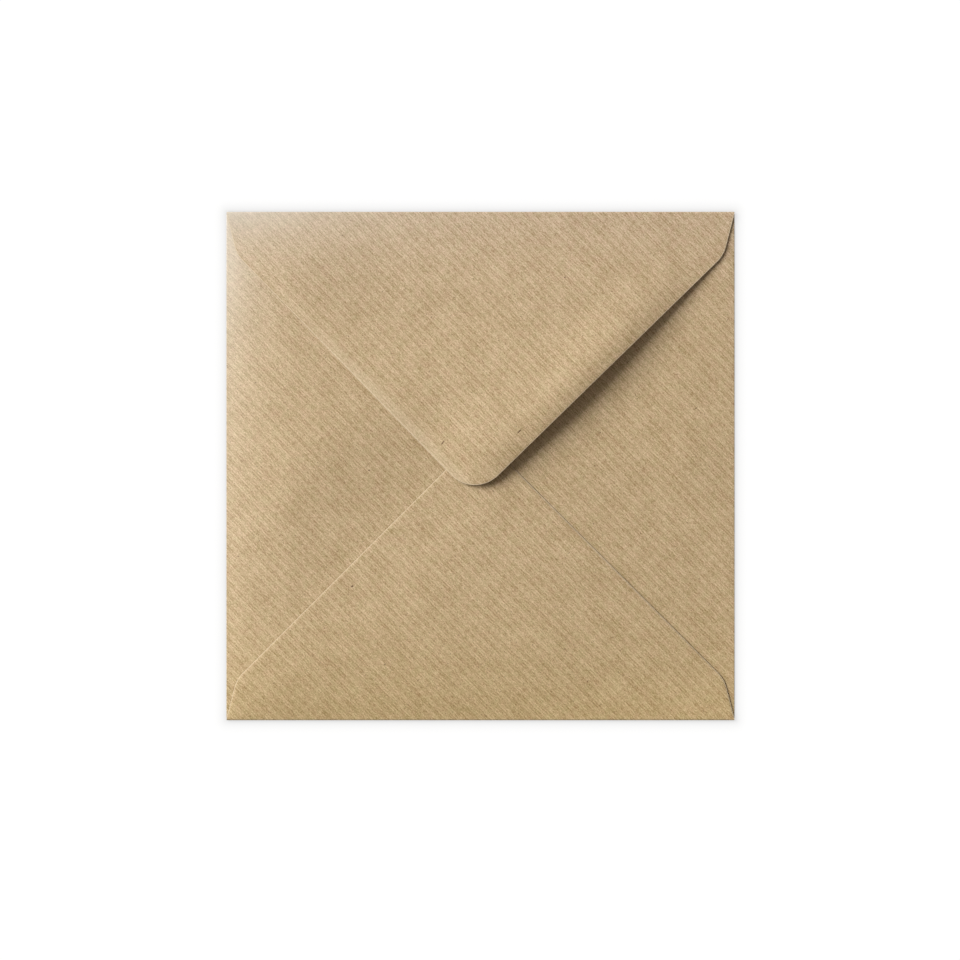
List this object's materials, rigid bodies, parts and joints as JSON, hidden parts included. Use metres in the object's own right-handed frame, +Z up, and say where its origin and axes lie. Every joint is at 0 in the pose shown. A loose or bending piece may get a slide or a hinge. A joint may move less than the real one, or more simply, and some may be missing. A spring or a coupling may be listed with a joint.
{
  "type": "envelope",
  "caption": "Square ribbed kraft paper envelope with pointed flaps: an open pocket under glued side and bottom flaps, and a gummed seal flap that hinges open.",
  "frame": {"origin": "middle of the address face, on the surface that the envelope lies on", "axes": "+Z up out of the back of the envelope, +Y towards the seal flap's fold, +X to the right when the back is seen with the seal flap at the top"},
  "size_m": [0.155, 0.155, 0.0095],
  "materials": {
    "kraft_paper": "ribbed brown kraft, machine-glazed, matt with a faint sheen",
    "seam_glue": "dried paper glue, satin",
    "seal_gum": "dried remoistenable gum, clear and glossy"
  },
  "bodies": {
    "pocket": {"front_panel": "kraft_paper", "left_side_flap": "kraft_paper", "right_side_flap": "kraft_paper", "bottom_flap": "kraft_paper", "top_crease": "kraft_paper", "left_seam_glue": "seam_glue", "right_seam_glue": "seam_glue"},
    "seal_flap": {"seal_flap": "kraft_paper", "seal_gum": "seal_gum"}
  },
  "joints": [
    {"name": "seal_flap_fold", "type": "hinge", "parent": "pocket", "child": "seal_flap", "pos_m": [0, 0.07687, 0.00063], "axis": [-1, 0, 0], "range_deg": [0, 168], "deforming": ["top_crease"]}
  ]
}
